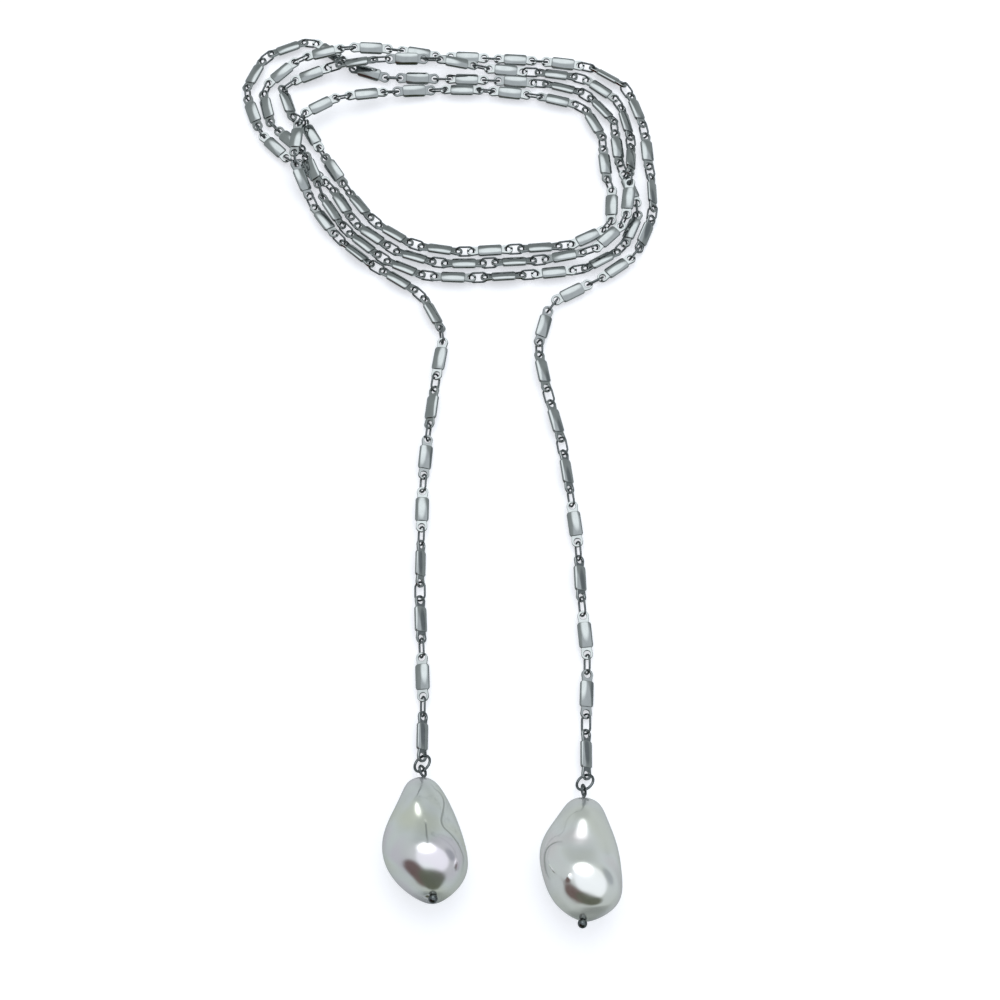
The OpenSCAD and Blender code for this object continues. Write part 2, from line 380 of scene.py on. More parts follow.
def loose_places(node: bpy.types.Object) -> list[Matrix]:
    """Find where each loose solid of a CAD node lies.

    The long way of a solid is X and its thin way is Z, from the second moments of its volume.

    Args:
        node: The CAD node. Its mesh is left as it is.

    Returns:
        One placement for each solid, which turns millimetres at the origin into metres in place.
    """
    bm = bmesh.new()
    bm.from_mesh(node.data)
    bmesh.ops.remove_doubles(bm, verts=bm.verts, dist=1e-7)
    bmesh.ops.triangulate(bm, faces=bm.faces)
    bm.verts.index_update()
    points = np.array([v.co for v in bm.verts], float)
    faces = np.array([[v.index for v in f.verts] for f in bm.faces], int)
    bm.free()
    # corners that share a face take the least label among them until each solid has one label
    label = np.arange(len(points))
    while True:
        least = label[faces].min(axis=1)
        fresh = label.copy()
        for k in range(3):
            np.minimum.at(fresh, faces[:, k], least)
        fresh = fresh[fresh]
        if np.array_equal(fresh, label):
            break
        label = fresh
    places = []
    owner = label[faces[:, 0]]
    for one in np.unique(owner):
        corners = points[faces[owner == one]]
        origin = corners[0, 0].copy()
        corners = corners - origin
        # volume, middle and second moments, summed over the tetrahedra below the faces
        six = np.einsum("ij,ij->i", corners[:, 0], np.cross(corners[:, 1], corners[:, 2]))
        total = corners.sum(axis=1)
        volume = six.sum() / 6
        middle = (six[:, None] * total).sum(axis=0) / (24 * volume)
        second = np.einsum("n,ni,nj->ij", six, total, total)
        second += np.einsum("n,nki,nkj->ij", six, corners, corners)
        spread = second / (120 * volume) - np.outer(middle, middle)
        axes = np.linalg.eigh(spread)[1]
        thin, long = axes[:, 0], axes[:, 2]
        thin = thin if thin[2] >= 0 else -thin
        side = np.cross(thin, long)
        place = Matrix.Translation(Vector(origin + middle))
        turn = Matrix([[long[i], side[i], thin[i]] for i in range(3)]).to_4x4()
        places.append(place @ turn @ Matrix.Scale(MM, 4))
    return places


def many(template: bpy.types.Mesh, places: list[Matrix]) -> bmesh.types.BMesh:
    """Put a copy of a mesh at each place.

    Args:
        template: The mesh, in millimetres at the origin.
        places: One placement for each copy.

    Returns:
        All the copies in one bmesh.
    """
    bm = bmesh.new()
    for place in places:
        first = len(bm.verts)
        bm.from_mesh(template)
        bm.verts.ensure_lookup_table()
        bmesh.ops.transform(bm, matrix=place, verts=bm.verts[first:])
    return bm


def wire_loop(radius: float, wire: float, steps: int, sides: int) -> bmesh.types.BMesh:
    """Make a closed round wire ring in the XY plane.

    Args:
        radius: Radius of the wire's own line.
        wire: Wire diameter.
        steps: Steps round the ring.
        sides: Sides of the wire.

    Returns:
        The ring, in the units of its sizes.
    """
    bm = bmesh.new()
    bmesh.ops.create_circle(
        bm,
        segments=sides,
        radius=wire / 2,
        matrix=Matrix.Translation((radius, 0, 0)) @ Matrix.Rotation(math.pi / 2, 4, "X"),
    )
    bmesh.ops.spin(
        bm,
        geom=bm.verts[:] + bm.edges[:],
        cent=(0, 0, 0),
        axis=(0, 0, 1),
        angle=2 * math.pi,
        steps=steps,
        use_merge=True,
    )
    bmesh.ops.remove_doubles(bm, verts=bm.verts, dist=wire * 1e-3)
    bmesh.ops.recalc_face_normals(bm, faces=bm.faces)
    return bm


@dataclass
class BarLinks:
    """The small domed bars of the chain.

    Attributes:
        pitch: From hole to hole.
        body: Length of the domed body.
        width: Width of the body.
        edge: Thickness of the body at its long edges.
        dome_radius: Radius of the domes across the body.
        dome_cuts: Where lines along the body carry the dome.
        corner: Radius of the body's corners.
        rim: Width of the body's broken rim.
        lug: Outside diameter of a lug.
        hole: Diameter of its hole.
        lug_thick: Its thickness.
        lug_rim: Width of its broken rim.
        lug_reach: How far it runs on inside the body.
        lug_steps: Steps round the lug and its hole.
        neck: Width of the neck between lug and body.
        neck_from: Points of the round lug this far from its middle line make the neck's sides.
        finish: The plating.
    """

    pitch: float = 8.35
    body: float = 5.65
    width: float = 3.0
    edge: float = 0.56
    dome_radius: float = 3.43
    dome_cuts: tuple[float, ...] = (-1.15, -0.85, -0.5, -0.17, 0.17, 0.5, 0.85, 1.15)
    corner: float = 0.6
    rim: float = 0.21
    lug: float = 2.5
    hole: float = 1.48
    lug_thick: float = 0.58
    lug_rim: float = 0.07
    lug_reach: float = 0.35
    lug_steps: int = 24
    neck: float = 2.0
    neck_from: float = 0.92
    finish: SilverPlating = field(default_factory=lambda: SilverPlating("rhodium_plated_bar"))

    def dome(self, y: float) -> float:
        """Height of the dome above the long edge, y away from the middle."""
        flat = math.sqrt(self.dome_radius**2 - (self.width / 2) ** 2)
        return math.sqrt(self.dome_radius**2 - y**2) - flat

    def body_shape(self) -> bmesh.types.BMesh:
        """Build the domed body with rounded corners and a broken rim.

        Returns:
            The closed body, in millimetres at the origin.
        """
        bm = bmesh.new()
        bmesh.ops.create_cube(bm, size=1.0)
        bmesh.ops.scale(bm, vec=(self.body, self.width, self.edge), verts=bm.verts)
        upright = [e for e in bm.edges if abs(e.verts[0].co.z - e.verts[1].co.z) > 0.1]
        bevel_edges(bm, upright, self.corner, 4)
        rim = [
            e
            for e in bm.edges
            if len(e.link_faces) == 2
            and abs(e.link_faces[0].normal.z) + abs(e.link_faces[1].normal.z) > 0.9
            and abs(e.link_faces[0].normal.z * e.link_faces[1].normal.z) < 0.1
        ]
        bevel_edges(bm, rim, self.rim, 2)
        for y in self.dome_cuts:
            bmesh.ops.bisect_plane(
                bm,
                geom=bm.verts[:] + bm.edges[:] + bm.faces[:],
                dist=1e-5,
                plane_co=(0, y, 0),
                plane_no=(0, 1, 0),
            )
        upright_half = self.edge / 2 - self.rim
        for v in bm.verts:
            share = min(1.0, abs(v.co.z) / upright_half)
            v.co.z += math.copysign(self.dome(v.co.y), v.co.z) * share
        return bm

    def tongue_shape(self, side: int) -> bmesh.types.BMesh:
        """Build the flat lug of one end, with its hole.

        Args:
            side: 1 or -1, the end of the bar.

        Returns:
            A closed plate that reaches into the body.
        """
        bm = bmesh.new()
        outline = bmesh.ops.create_circle(bm, segments=self.lug_steps, radius=self.lug / 2)
        for v in outline["verts"]:
            if v.co.x < -0.01:
                v.co.x = -(self.pitch - self.body) / 2 - self.lug_reach
                v.co.y = max(-1.0, min(1.0, v.co.y / self.neck_from)) * self.neck / 2
        bmesh.ops.create_circle(bm, segments=self.lug_steps, radius=self.hole / 2)
        bmesh.ops.bridge_loops(bm, edges=bm.edges[:])
        plate = bmesh.ops.extrude_face_region(bm, geom=bm.faces[:])
        raised = [v for v in plate["geom"] if isinstance(v, bmesh.types.BMVert)]
        bmesh.ops.translate(bm, vec=(0, 0, self.lug_thick), verts=raised)
        bmesh.ops.translate(bm, vec=(0, 0, -self.lug_thick / 2), verts=bm.verts)
        bmesh.ops.recalc_face_normals(bm, faces=bm.faces)
        rim = [
            e
            for e in bm.edges
            if len(e.link_faces) == 2
            and e.calc_face_angle(0) > math.radians(70)
            and abs(e.verts[0].co.z - e.verts[1].co.z) < 0.01
        ]
        bevel_edges(bm, rim, self.lug_rim, 1)
        bmesh.ops.translate(bm, vec=(self.pitch / 2, 0, 0), verts=bm.verts)
        if side < 0:
            bmesh.ops.rotate(
                bm,
                cent=(0, 0, 0),
                matrix=Matrix.Rotation(math.pi, 3, "Z"),
                verts=bm.verts,
            )
        return bm

    def one(self) -> bpy.types.Mesh:
        """Join body and lugs into one closed link."""
        shapes = [self.body_shape(), self.tongue_shape(1), self.tongue_shape(-1)]
        return fuse("bar_template", shapes)

    def build(self, node: bpy.types.Object) -> bpy.types.Object:
        """Put a link wherever the CAD has one."""
        bm = many(self.one(), loose_places(node))
        return finish_piece(bm, "bar_links_fine", "bar_links", self.finish.material())


def fuse(name: str, shapes: list[bmesh.types.BMesh]) -> bpy.types.Mesh:
    """Unite closed shapes into one closed mesh.

    Args:
        name: The name of the mesh.
        shapes: The shapes, which are freed. The first is the one that the others join.

    Returns:
        The united mesh.
    """
    objects = []
    for i, bm in enumerate(shapes):
        mesh = bpy.data.meshes.new(f"{name}_{i}")
        bm.to_mesh(mesh)
        bm.free()
        objects.append(bpy.data.objects.new(f"{name}_{i}", mesh))
        bpy.context.scene.collection.objects.link(objects[-1])
    for other in objects[1:]:
        union = objects[0].modifiers.new(other.name, "BOOLEAN")
        union.operation = "UNION"
        union.solver = "EXACT"
        union.object = other
    graph = bpy.context.evaluated_depsgraph_get()
    united = bpy.data.meshes.new_from_object(objects[0].evaluated_get(graph))
    united.name = name
    for one in objects:
        bpy.data.objects.remove(one)
    return united


@dataclass
class ConnectorRings:
    """The oval wire rings between the bars.

    Attributes:
        wire: Wire diameter.
        length: Outside length.
        width: Outside width.
        steps: Steps round the ring.
        sides: Sides of the wire.
        finish: The plating, painted darker than on the bars as painted shade on the thin wire.
    """

    wire: float = 0.47
    length: float = 4.67
    width: float = 2.77
    steps: int = 20
    sides: int = 8
    # the same plating as the bars, painted darker as painted shade on the thin wire
    finish: SilverPlating = field(
        default_factory=lambda: SilverPlating(
            "rhodium_plated_wire_painted_shade", colour="#707678", shade="#5E6466", roughness=0.12
        )
    )

    def one(self) -> bpy.types.Mesh:
        """Build one oval ring by opening a round one along X.

        Returns:
            The ring, in millimetres at the origin.
        """
        bm = wire_loop((self.width - self.wire) / 2, self.wire, self.steps, self.sides)
        bmesh.ops.rotate(
            bm,
            cent=(0, 0, 0),
            matrix=Matrix.Rotation(math.pi / self.steps, 3, "Z"),
            verts=bm.verts,
        )
        for v in bm.verts:
            v.co.x += math.copysign((self.length - self.width) / 2, v.co.x)
        mesh = bpy.data.meshes.new("ring_template")
        bm.to_mesh(mesh)
        bm.free()
        return mesh

    def build(self, node: bpy.types.Object) -> bpy.types.Object:
        """Put a ring wherever the CAD has one.

        Args:
            node: The CAD node of the rings.

        Returns:
            All the rings as one piece.
        """
        bm = many(self.one(), loose_places(node))
        finish = self.finish.material()
        return finish_piece(
            bm, "connector_rings_fine", "connector_rings", finish, ROUND_SHARP_DEG
        )


@dataclass
class JumpRing:
    """The round ring that joins the chain's end to the eye of the head pin.

    Attributes:
        side: "left" or "right".
        outside: Outside diameter.
        wire: Wire diameter.
        steps: Steps round the ring.
        sides: Sides of the wire.
        finish: The plating, painted darker than on the bars as painted shade on the thin wire.
    """

    side: str
    outside: float = 4.3
    wire: float = 0.56
    steps: int = 56
    sides: int = 16
    # the same plating as the bars, painted darker as painted shade on the thin wire
    finish: SilverPlating = field(
        default_factory=lambda: SilverPlating(
            "rhodium_plated_jump_ring_painted_shade", colour="#767C7E", shade="#646A6C"
        )
    )

    def build(self, node: bpy.types.Object) -> bpy.types.Object:
        """Build the ring in the place of its CAD node.

        Args:
            node: The CAD node.

        Returns:
            The finished ring.
        """
        bm = wire_loop((self.outside - self.wire) / 2, self.wire, self.steps, self.sides)
        bmesh.ops.transform(bm, matrix=loose_places(node)[0], verts=bm.verts)
        name = f"jump_ring_{self.side}"
        finish = self.finish.material()
        return finish_piece(bm, f"{name}_fine", name, finish, ROUND_SHARP_DEG)


@dataclass
class HeadPin:
    """Wire pin through a pearl: an eye above, a ball below.

    Attributes:
        side: "left" or "right".
        eye: Middle of the eye, in the places that part.scad gives before its shift.
        ball: Middle of the ball, likewise.
        turn_deg: Turn of the eye about the pin.
        wire: Wire diameter.
        eye_outside: Outside diameter of the eye.
        eye_steps: Steps round the eye.
        eye_sides: Sides of its wire.
        shank_sides: Sides of the shank.
        ball_d: Diameter of the ball.
        ball_steps: Steps round the ball.
        ball_rows: Steps from its top to its foot.
        finish: The plating, painted darker than on the bars as painted shade on the thin wire.
    """

    side: str
    eye: tuple[float, float, float]
    ball: tuple[float, float, float]
    turn_deg: float
    wire: float = 0.56
    eye_outside: float = 2.8
    eye_steps: int = 40
    eye_sides: int = 14
    shank_sides: int = 16
    ball_d: float = 1.9
    ball_steps: int = 32
    ball_rows: int = 18
    # the same plating as the bars, painted darker as painted shade on the thin wire
    finish: SilverPlating = field(
        default_factory=lambda: SilverPlating(
            "rhodium_plated_pin_painted_shade", colour="#6C7274", shade="#5A6062"
        )
    )

    def placed(self, at: Vector, turn_deg: float) -> Matrix:
        """Work out a placement with X from the eye to the ball.

        Args:
            at: The place, in millimetres before part.scad's shift.
            turn_deg: Turn about the pin's line.

        Returns:
            A matrix that turns millimetres at the origin into metres in place.
        """
        line = (Vector(self.ball) - Vector(self.eye)).normalized()
        side = Vector((0, 0, 1)).cross(line).normalized()
        up = line.cross(side)
        turn = Matrix((line, side, up)).transposed().to_4x4()
        roll = Matrix.Rotation(math.radians(turn_deg), 4, "X")
        shift = Matrix.Translation((at + Vector(LAY_SHIFT)) * MM)
        return shift @ turn @ roll @ Matrix.Scale(MM, 4)

    def build(self) -> bpy.types.Object:
        """Build eye, shank and ball.

        Returns:
            The finished pin.
        """
        eye, ball = Vector(self.eye), Vector(self.ball)
        line = (ball - eye).normalized()
        radius = (self.eye_outside - self.wire) / 2
        bm = wire_loop(radius, self.wire, self.eye_steps, self.eye_sides)
        bmesh.ops.transform(bm, matrix=self.placed(eye, self.turn_deg), verts=bm.verts)
        length = (ball - eye).length - radius
        middle = eye + line * (radius + length / 2)
        across = Matrix.Rotation(math.pi / 2, 4, "Y")
        bmesh.ops.create_cone(
            bm,
            cap_ends=True,
            segments=self.shank_sides,
            radius1=self.wire / 2,
            radius2=self.wire / 2,
            depth=length,
            matrix=self.placed(middle, 0) @ across,
        )
        bmesh.ops.create_uvsphere(
            bm,
            u_segments=self.ball_steps,
            v_segments=self.ball_rows,
            radius=self.ball_d / 2,
            matrix=self.placed(ball, 0) @ across,
        )
        name = f"head_pin_{self.side}"
        finish = self.finish.material()
        return finish_piece(bm, f"{name}_fine", name, finish, ROUND_SHARP_DEG)


class Section(NamedTuple):
    """One cross-section of a pearl: its place along Y, its middle, and its reach from there."""

    y: float
    middle_x: float
    reach_x: float
    middle_z: float
    reach_z: float


@dataclass(frozen=True)
class Swell:
    """A rise or hollow of a pearl.

    Attributes:
        centre: Its middle, on the pearl's main form.
        reach: How far it reaches along its own X and Y.
        turn_deg: Turn of those two about Z.
        height: Its height, or its depth where that is below 0.
        crisp: 1 for a soft bell, and more for a flat top with steeper sides.
    """

    centre: tuple[float, float, float]
    reach: tuple[float, float]
    turn_deg: float
    height: float
    crisp: float = 1.0


@dataclass(frozen=True)
class Crease:
    """A fine line on the upper side of a pearl, with a soft roll on one side of it.

    Attributes:
        line: Points of the line, seen from above.
        depth: Depth of its groove.
        width: Width of the groove.
        roll: Height of the roll to the left of the way along, or its depth where that is below 0.
        roll_width: Distance of the roll from the line.
    """

    line: list[tuple[float, float]]
    depth: float
    width: float
    roll: float = 0.0
    roll_width: float = 1.0


@dataclass
class BaroquePearl:
    """A drop-shaped baroque pearl: cross-sections, swells, creases and a seat for the ball.

    Attributes:
        side: "left" or "right".
        slot: The record's material slot; not used.
        sections: Cross-sections from the pin's eye to its ball.
        ball: Middle of the pin's ball.
        swells: Rises and hollows.
        creases: Growth lines.
        finish: The nacre.
        ball_d: Diameter of the ball.
        ball_gap: Gap between the ball and its seat.
        tip_over: How far the upper tip lies beyond the first section.
        end_over: How far the lower tip lies beyond the last section.
        curve_degree: Degree of the curves through the sections.
        subdivisions: Fineness of the sphere that the pearl is shaped from.
    """

    side: str
    slot: Slot
    sections: list[Section]
    ball: tuple[float, float, float]
    swells: list[Swell]
    creases: list[Crease]
    finish: Nacre
    ball_d: float = 1.9
    ball_gap: float = 0.02
    tip_over: float = 0.6
    end_over: float = 0.2
    curve_degree: int = 6
    subdivisions: int = 7

    def smooth_sections(self) -> tuple[float, float, list[np.polynomial.Polynomial]]:
        """Fit smooth curves through the cross-sections.

        Returns:
            The Y of both tips, and curves for the centre and reach in X and in Z.
        """
        y, middle_x, reach_x, middle_z, reach_z = np.array(self.sections).T
        top, end = y[0] + self.tip_over, y[-1] - self.end_over
        share = (y - top) / (end - top)
        # a curve through reach / round_off stays smooth where the pearl closes at its tips
        round_off = 2 * np.sqrt(share * (1 - share))
        columns = [middle_x, reach_x / round_off, middle_z, reach_z / round_off]
        fit = np.polynomial.Polynomial.fit
        return top, end, [fit(share, column, self.curve_degree) for column in columns]

    def base(self, bm: bmesh.types.BMesh) -> None:
        """Shape a unit sphere into the pearl's main form.

        Args:
            bm: The sphere.
        """
        top, end, (mid_x, reach_x, mid_z, reach_z) = self.smooth_sections()
        unit = np.array([v.co for v in bm.verts])
        share = (1 - unit[:, 1]) / 2
        x = mid_x(share) + reach_x(share) * unit[:, 0]
        y = top + (end - top) * share
        z = mid_z(share) + reach_z(share) * unit[:, 2]
        for v, place in zip(bm.verts, np.stack([x, y, z], axis=1), strict=True):
            v.co = place

    def swell_all(self, bm: bmesh.types.BMesh) -> None:
        """Raise the swells along the surface normals.

        Args:
            bm: The pearl's main form.
        """
        bm.normal_update()
        places = np.array([v.co for v in bm.verts])
        rise = np.zeros(len(places))
        for swell in self.swells:
            away = places - np.array(swell.centre)
            c, s = math.cos(math.radians(swell.turn_deg)), math.sin(math.radians(swell.turn_deg))
            along = (away[:, 0] * c + away[:, 1] * s) / swell.reach[0]
            across = (away[:, 1] * c - away[:, 0] * s) / swell.reach[1]
            deep = away[:, 2] / max(swell.reach)
            rise += swell.height * np.exp(-((along**2 + across**2 + deep**2) ** swell.crisp))
        for v, d in zip(bm.verts, rise, strict=True):
            v.co += v.normal * float(d)

    def crease_all(self, bm: bmesh.types.BMesh) -> None:
        """Cut the creases into the upper side, and mark them for the finish, which paints them darker,
        partly as painted shade in the groove.

        Args:
            bm: The pearl with its swells.
        """
        layer = bm.verts.layers.float.new(CREASE_MARK)
        bm.normal_update()
        places = np.array([v.co for v in bm.verts])
        # creases run out at the flanks, where the normal turns level
        upper = np.clip(np.array([v.normal.z for v in bm.verts]) * 4, 0, 1)
        rise = np.zeros(len(places))
        mark = np.zeros(len(places))
        for crease in self.creases:
            gap, side, fade = line_distance(places[:, :2], crease.line)
            rise -= fade * crease.depth * np.exp(-((gap / crease.width) ** 2))
            # the mark sets where the finish paints the groove darker, partly as painted shade
            mark = np.maximum(mark, fade * np.exp(-((gap / (0.6 * crease.width)) ** 2)))
            roll = np.exp(-(((gap - crease.roll_width) / (0.7 * crease.roll_width)) ** 2))
            rise += fade * crease.roll * roll * (side > 0)
        for v, d, m in zip(bm.verts, rise * upper, mark * upper, strict=True):
            v.co += v.normal * float(d)
            v[layer] = float(m)

    def seat(self, bm: bmesh.types.BMesh) -> None:
        """Press the seat of the ball into the end.

        Args:
            bm: The pearl.
        """
        centre, radius = Vector(self.ball), self.ball_d / 2 + self.ball_gap
        for v in bm.verts:
            away = v.co - centre
            if away.length < radius:
                v.co = centre + away.normalized() * radius

    def build(self) -> bpy.types.Object:
        """Build the pearl.

        Returns:
            The finished pearl.
        """
        bm = bmesh.new()
        bmesh.ops.create_icosphere(bm, subdivisions=self.subdivisions, radius=1.0)
        self.base(bm)
        self.swell_all(bm)
        self.crease_all(bm)
        self.seat(bm)
        bmesh.ops.transform(
            bm,
            matrix=Matrix.Scale(MM, 4) @ Matrix.Translation(LAY_SHIFT),
            verts=bm.verts,
        )
        name = f"pearl_{self.side}"
        finish = self.finish.material()
        return finish_piece(bm, f"{name}_fine", name, finish, ROUND_SHARP_DEG)


def smooth_line(points: list[tuple[float, float]], steps: int = 8) -> np.ndarray:
    """Run a smooth curve through given points.

    Args:
        points: The points.
        steps: Steps between two of them.

    Returns:
        The points of the curve.
    """
    p = np.array(points, float)
    p = np.vstack([2 * p[0] - p[1], p, 2 * p[-1] - p[-2]])
    t = np.linspace(0, 1, steps, endpoint=False)[:, None]
    parts = []
    for a, b, c, d in zip(p[:-3], p[1:-2], p[2:-1], p[3:], strict=True):
        parts.append(
            (2 * b + (c - a) * t + (2 * a - 5 * b + 4 * c - d) * t**2 + (3 * b - a - 3 * c + d) * t**3)
            / 2
        )
    return np.vstack([*parts, p[-2:-1]])


def line_distance(
    places: np.ndarray, points: list[tuple[float, float]], run_out: float = 0.25
) -> tuple[np.ndarray, np.ndarray, np.ndarray]:
    """Measure how far points in a plane lie from a smooth line.

    Args:
        places: The points, one row each.
        points: Given points of the line.
        run_out: Share of the line over which it fades at each end.

    Returns:
        The distance, the side (1 on the left of the way along), and a fade to 0 at both ends.
    """
    line = smooth_line(points)
    best = np.full(len(places), 1e9)
    side = np.zeros(len(places))
    along = np.zeros(len(places))
    count = len(line) - 1
    for i in range(count):
        a, b = line[i], line[i + 1]
        way = b - a
        away = places - a
        t = np.clip((away @ way) / (way @ way), 0, 1)
        gap = np.linalg.norm(away - t[:, None] * way, axis=1)
        nearer = gap < best
        best = np.where(nearer, gap, best)
        turn = way[0] * away[:, 1] - way[1] * away[:, 0]
        side = np.where(nearer, np.sign(turn), side)
        along = np.where(nearer, (i + t) / count, along)
    fade = np.clip(np.minimum(along, 1 - along) / run_out, 0, 1)
    return best, side, fade


@dataclass(frozen=True)
class Panel:
    """A soft-edged bright or dark part of the room.

    Attributes:
        toward: Direction from the necklace to its middle.
        full_deg: It has its full light up to this angle from its middle.
        fade_deg: It has faded into the room at this angle.
        colour: The colour of its light.
        strength: The strength of its light.
    """

    toward: tuple[float, float, float]
    full_deg: float
    fade_deg: float
    colour: str
    strength: float


@dataclass
class Studio:
    """Opal light table, soft room light and the camera at the photograph's angle.

    Attributes:
        eye: Place of the camera, in millimetres.
        tilt_deg: Its tilt away from straight down.
        lens: Its focal length.
        sensor: Width of its sensor.
        table_side: Side of the table, in metres.
        table_skin: The colour of the opal sheet, which takes the soft shadows.
        table_glow: The colour of the light from below it.
        glow_strength: The strength of that light.
        room: The room's grey by height, from straight below at 0 to straight above at 1.
        panels: The room's bright and dark parts, each laid over those before it.
    """

    eye: tuple[float, float, float] = (12.96, -151.251, 328.003)
    tilt_deg: float = 22.5
    lens: float = 57.6
    sensor: float = 36.0
    table_side: float = 4.0
    table_skin: str = "#E7E8EC"
    table_glow: str = "#F4F5FA"
    glow_strength: float = 0.53
    room: tuple[tuple[float, str], ...] = (
        (0.0, "#A2A8A8"),
        (0.25, "#B6BCBD"),
        (0.45, "#B8BEBF"),
        (0.56, "#B8BEBE"),
        (0.7, "#B8BEBD"),
        (0.9, "#C4C9C9"),
    )
    panels: tuple[Panel, ...] = (
        # a dim wall behind, for the dark sides of the lower band
        Panel((0.0, 0.97, 0.22), 4, 40, "#A6ACAC", 1.0),
        # a wide bright ceiling, for the large highlight of each pearl
        Panel((0.28, -0.1, 0.95), 38, 50, "#F4F8FC", 1.0),
        # a lamp above the wall behind, for the white bands of the bars
        Panel((0.0, 0.5, 0.87), 14, 30, "#F8FBFC", 2.0),
        # a dim wall on the right, for the dark sides of the bars that run along Y
        Panel((0.92, 0.3, 0.2), 12, 24, "#90969A", 1.0),
        # a dim place below the table's front edge, for the pearls' lower ends
        Panel((0.0, -0.6, -0.8), 12, 32, "#7C8282", 1.0),
        # dark red and dark olive in front, for the two ends of the crescents under the highlights
        Panel((-0.62, -0.73, 0.3), 24, 38, "#50342E", 1.0),
        Panel((0.1, -0.96, 0.26), 24, 38, "#3D422C", 1.0),
    )

    def floor(self) -> None:
        """Lay the light table: even white, and not mirrored in the metal."""
        bm = bmesh.new()
        bmesh.ops.create_grid(bm, x_segments=1, y_segments=1, size=self.table_side / 2)
        mesh = bpy.data.meshes.new("table")
        bm.to_mesh(mesh)
        bm.free()
        material, tree, out = new_material("opal_light_table")
        shader = add_node(
            tree,
            "ShaderNodeBsdfPrincipled",
            {
                "Base Color": linear(self.table_skin),
                "Roughness": 0.9,
                "Specular IOR Level": 0.0,
                "Emission Color": linear(self.table_glow),
                "Emission Strength": self.glow_strength,
            },
        )
        tree.links.new(shader.outputs[0], out.inputs[0])
        mesh.materials.append(material)
        table = bpy.data.objects.new("table", mesh)
        bpy.context.scene.collection.objects.link(table)
        table.visible_glossy = False

    def surroundings(self) -> None:
        """Light the room: grey walls and ceiling with a few bright and dark panels."""
        world = bpy.data.worlds.new("studio_room")
        bpy.context.scene.world = world
        world.use_nodes = True
        tree = world.node_tree
        tree.nodes.clear()
        place = add_node(tree, "ShaderNodeTexCoord")
        height = add_node(tree, "ShaderNodeSeparateXYZ", {}, {0: place.outputs["Generated"]})
        level = add_node(tree, "ShaderNodeMapRange", {1: -1.0, 2: 1.0}, {0: height.outputs[2]})
        shade = add_node(
            tree,
            "ShaderNodeValToRGB",
            {"stops": [(at, linear(colour)) for at, colour in self.room]},
            {0: level.outputs[0]},
        ).outputs[0]
        for panel in self.panels:
            facing = add_node(
                tree,
                "ShaderNodeVectorMath",
                {"operation": "DOT_PRODUCT", 1: Vector(panel.toward).normalized()},
                {0: place.outputs["Generated"]},
            )
            share = add_node(
                tree,
                "ShaderNodeMapRange",
                {
                    "interpolation_type": "SMOOTHSTEP",
                    1: math.cos(math.radians(panel.fade_deg)),
                    2: math.cos(math.radians(panel.full_deg)),
                },
                {0: facing.outputs["Value"]},
            )
            light = [c * panel.strength for c in linear(panel.colour)[:3]]
            shade = add_node(
                tree,
                "ShaderNodeMix",
                {"data_type": "RGBA", 7: (*light, 1.0)},
                {0: share.outputs[0], 6: shade},
            ).outputs[2]
        room = add_node(tree, "ShaderNodeBackground", {"Strength": 1.0}, {"Color": shade})
        out = add_node(tree, "ShaderNodeOutputWorld")
        tree.links.new(room.outputs[0], out.inputs[0])

    def camera(self) -> None:
        """Set up the camera at the photograph's angle."""
        data = bpy.data.cameras.new("camera")
        data.lens = self.lens
        data.sensor_width = self.sensor
        data.clip_start = 0.01
        holder = bpy.data.objects.new("camera", data)
        bpy.context.scene.collection.objects.link(holder)
        holder.location = Vector(self.eye) * MM
        holder.rotation_euler = (math.radians(self.tilt_deg), 0, 0)
        bpy.context.scene.camera = holder

    def build(self) -> None:
        """Set the whole stage."""
        self.camera()
        self.floor()
        self.surroundings()
        bpy.context.scene.view_settings.view_transform = "Standard"


# middles of the pins' balls, which part.scad gives before its shift
LEFT_BALL = (0, -104.7, 11.9)
RIGHT_BALL = (29, -109.1, 9.7)

LEFT_PIN = HeadPin(side="left", eye=(-2.9, -77.7, 3.2), ball=LEFT_BALL, turn_deg=-60)
RIGHT_PIN = HeadPin(side="right", eye=(30.1, -81.7, 3.1), ball=RIGHT_BALL, turn_deg=-68)

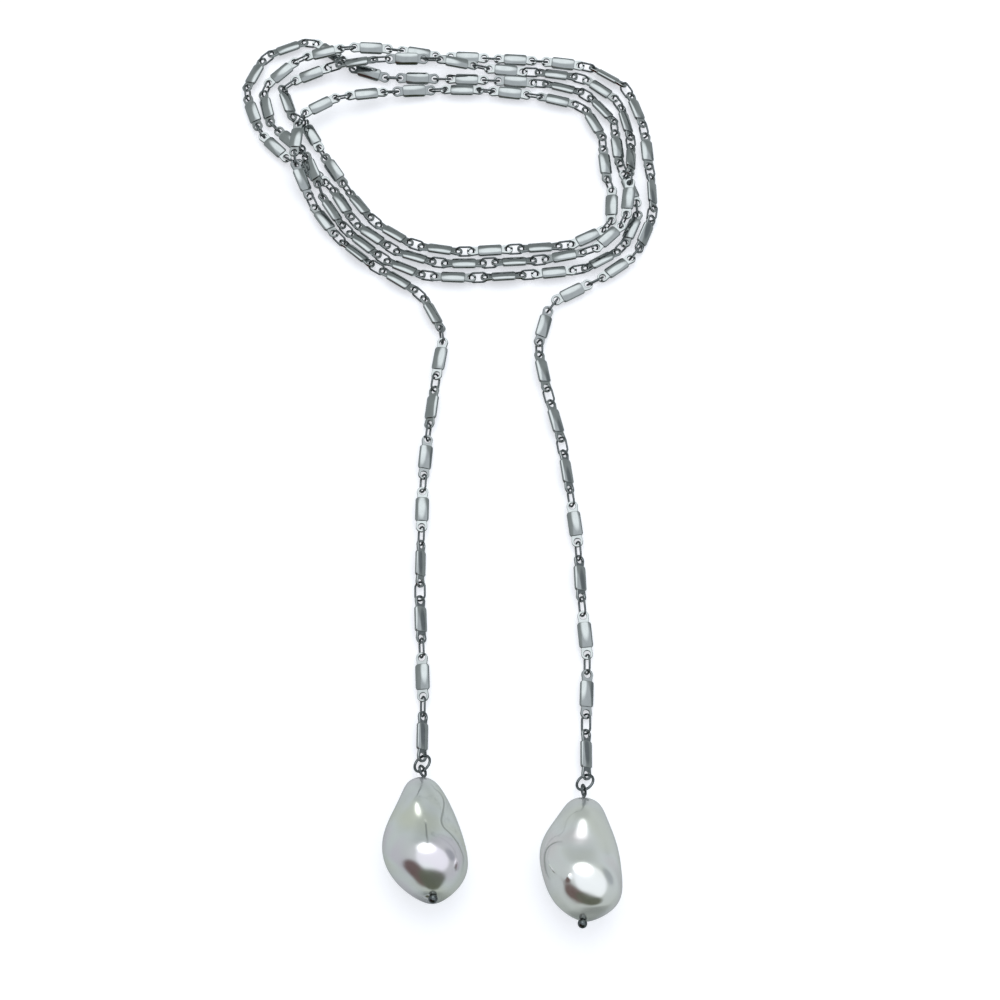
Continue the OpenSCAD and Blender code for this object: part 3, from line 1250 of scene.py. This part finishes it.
LEFT_PEARL = BaroquePearl(
    side="left",
    slot=Slot.NACRE_LEFT,
    sections=[
        Section(-79.8, -3, 2.2, 4.1, 2),
        Section(-81.3, -2.8, 3.5, 4.5, 3.3),
        Section(-83.2, -2.6, 4.7, 5, 4.4),
        Section(-86.6, -2.5, 6.1, 6, 5.8),
        Section(-90, -2.4, 7.3, 7, 6.9),
        Section(-93.3, -2.2, 8.2, 7.8, 7.8),
        Section(-96.6, -1.7, 8.4, 8.15, 8),
        Section(-99.8, -1, 7.2, 8.3, 7),
        Section(-102.6, -0.7, 5, 8.5, 4.3),
        Section(-104.2, -0.5, 3, 8.5, 2.7),
        Section(-105, -0.3, 1.2, 8.5, 1.1),
    ],
    ball=LEFT_BALL,
    swells=[
        Swell((0.1, -98.4, 15.7), (6.2, 5.0), -25, 1.2, 2.1),
        Swell((-0.5, -102.9, 12.5), (3.5, 1.5), -10, 0.45),
        Swell((-3.7, -85.7, 10.9), (1.9, 3.0), 0, 1.05),
        Swell((-5.9, -91.0, 13.7), (2.8, 2.8), 14, -0.6, 1.2),
        Swell((-7.5, -97.0, 13.8), (3.2, 5.0), 0, 0.4),
        Swell((3.8, -90.5, 11.5), (1.6, 3.6), 15, 0.25),
        Swell((-1.0, -103.9, 11.4), (0.5, 0.4), 0, -0.3),
    ],
    creases=[
        Crease(
            [
                (-1.5, -80.4),
                (-0.3, -82.2),
                (1.0, -83.2),
                (1.7, -84.5),
                (1.9, -86.0),
                (1.6, -88.4),
                (1.5, -89.8),
                (2.0, -91.1),
                (3.2, -92.2),
                (4.2, -93.3),
                (5.0, -94.4),
                (5.6, -95.7),
                (5.9, -96.8),
                (5.8, -98.5),
                (5.2, -100.4),
            ],
            depth=0.16,
            width=0.28,
            roll=-0.25,
            roll_width=1.0,
        ),
        Crease(
            [(-1.7, -89.6), (-1.5, -91), (-1.3, -92.6), (-0.9, -95.1)], depth=0.13, width=0.3
        ),
    ],
    finish=Nacre("nacre_left_overtone"),
)

RIGHT_PEARL = BaroquePearl(
    side="right",
    slot=Slot.NACRE_RIGHT,
    sections=[
        Section(-84, 29.8, 2.4, 4.2, 2.1),
        Section(-85.6, 29.8, 3.8, 4.6, 3.5),
        Section(-87.3, 29.5, 5, 5.2, 4.7),
        Section(-90.6, 29, 6.5, 6.3, 6),
        Section(-94, 28.7, 7.6, 7.2, 7),
        Section(-97.3, 28.9, 8, 7.8, 7.7),
        Section(-100.5, 29.4, 7.8, 8.05, 8),
        Section(-103.6, 29.8, 6.9, 8.2, 7.2),
        Section(-106.2, 30, 5, 8.4, 5.1),
        Section(-107.7, 30, 3, 8.5, 3.1),
        Section(-108.4, 29.8, 1.2, 8.6, 1.2),
    ],
    ball=RIGHT_BALL,
    swells=[
        Swell((31.1, -102.1, 15.6), (6.3, 4.5), -24, 1.1, 2.1),
        Swell((29.1, -106.3, 13.3), (4.5, 1.4), 20, 0.3, 1.2),
        Swell((29.5, -88.3, 10.5), (3.2, 3.5), 18, 1.05, 1.2),
        Swell((28.5, -94.2, 14.5), (5.0, 2.2), -3, -0.25, 1.2),
        Swell((24.4, -90.6, 10.6), (1.5, 2.4), 20, -0.4),
        Swell((24.6, -100.0, 14.4), (3.6, 2.9), 10, 0.6),
        Swell((26.0, -104.4, 13.8), (2.6, 2.4), 40, 0.4, 1.3),
        Swell((23.6, -99.0, 13.2), (0.7, 2.4), 38, 0.35),
        Swell((26.5, -101.1, 15.3), (0.5, 0.5), 0, 0.26),
    ],
    creases=[
        Crease(
            [
                (25.6, -93.9),
                (24.4, -93.9),
                (23.2, -94.2),
                (22.2, -95.0),
                (21.7, -96.3),
                (21.7, -98.1),
                (22.1, -99.9),
                (22.9, -101.5),
            ],
            depth=0.14,
            width=0.28,
            roll=0.2,
            roll_width=0.8,
        ),
    ],
    finish=Nacre("nacre_right_overtone", body="#FBFDFD", rose="#FAF5F7", olive="#F6F8F1"),
)


def main() -> None:
    """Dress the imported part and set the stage."""
    logging.basicConfig(level=logging.INFO, format="%(message)s")
    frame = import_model()
    nodes = frame["nodes"]
    Studio().build()
    BarLinks().build(nodes["bar_links"])
    ConnectorRings().build(nodes["connector_rings"])
    for side in ("left", "right"):
        JumpRing(side).build(nodes[f"jump_ring_{side}"])
    for piece in (LEFT_PIN, RIGHT_PIN, LEFT_PEARL, RIGHT_PEARL):
        piece.build()


if __name__ == "__main__":
    main()
